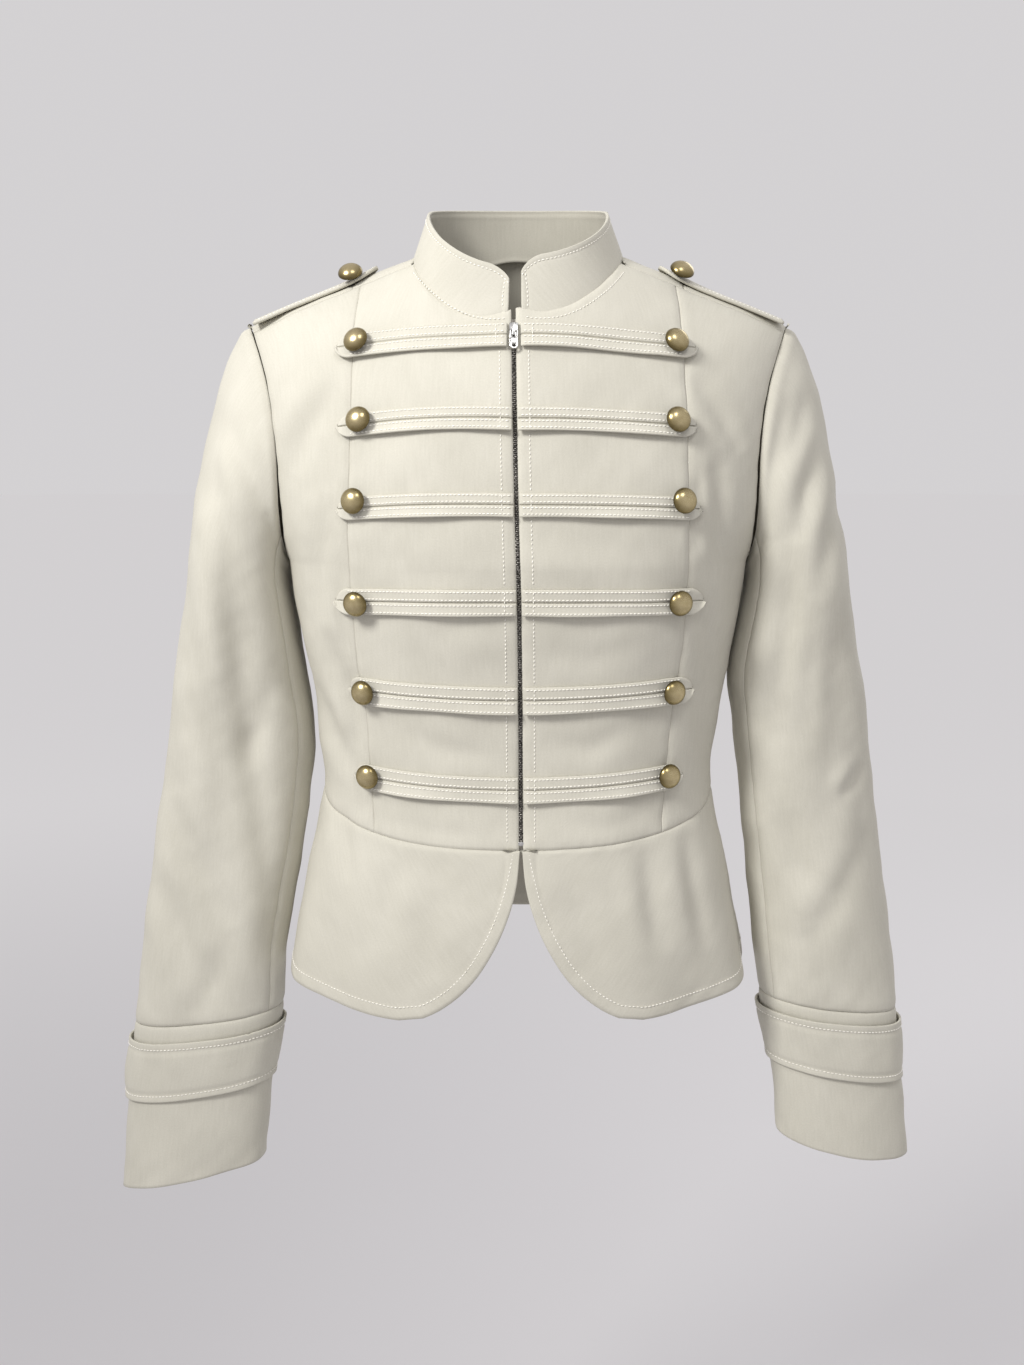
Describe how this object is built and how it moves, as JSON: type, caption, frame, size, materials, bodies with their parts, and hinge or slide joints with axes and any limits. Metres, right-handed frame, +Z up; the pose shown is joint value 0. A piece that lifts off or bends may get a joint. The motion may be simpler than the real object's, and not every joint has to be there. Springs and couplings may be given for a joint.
{
  "type": "zip-up jacket",
  "caption": "Short fitted stand-collar zip jacket in worn form, with buttoned front straps, shoulder tabs, rounded peplum and banded cuffs.",
  "frame": {"origin": "centre of the neck, level with the base of the collar's sides, where the wearer carries it", "axes": "+Z up the body, the front faces -Y, +X to the viewer's right seen from the front"},
  "size_m": [0.5911, 0.2203, 0.7195],
  "materials": {
    "twill": "matte cotton twill, slight sheen",
    "brass": "satin antique",
    "silver": "bright nickel",
    "tape": "woven tape"
  },
  "bodies": {
    "jacket": {"back": "twill", "button_left_1": "brass", "button_left_2": "brass", "button_left_3": "brass", "button_left_4": "brass", "button_left_5": "brass", "button_left_6": "brass", "button_right_1": "brass", "button_right_2": "brass", "button_right_3": "brass", "button_right_4": "brass", "button_right_5": "brass", "button_right_6": "brass", "collar": "twill", "cuff_band_left": "twill", "cuff_band_right": "twill", "cuff_left": "twill", "cuff_right": "twill", "epaulette_button_left": "brass", "epaulette_button_right": "brass", "epaulette_left": "twill", "epaulette_right": "twill", "front_left": "twill", "front_right": "twill", "peplum_back": "twill", "peplum_front_left": "twill", "peplum_front_right": "twill", "side_back_left": "twill", "side_back_right": "twill", "side_front_left": "twill", "side_front_right": "twill", "sleeve_top_left": "twill", "sleeve_top_right": "twill", "sleeve_under_left": "twill", "sleeve_under_right": "twill", "strap_left_1": "twill", "strap_left_2": "twill", "strap_left_3": "twill", "strap_left_4": "twill", "strap_left_5": "twill", "strap_left_6": "twill", "strap_right_1": "twill", "strap_right_2": "twill", "strap_right_3": "twill", "strap_right_4": "twill", "strap_right_5": "twill", "strap_right_6": "twill", "zip_slider": "silver", "zip_tape_left": "tape", "zip_tape_right": "tape"},
    "zip_pull": {"zip_pull": "silver"}
  },
  "joints": [
    {"name": "pull_swing", "type": "hinge", "parent": "jacket", "child": "zip_pull", "pos_m": [-0.00323, -0.08521, -0.06571], "axis": [-1, 0, 0], "range_deg": [0, 150]}
  ]
}
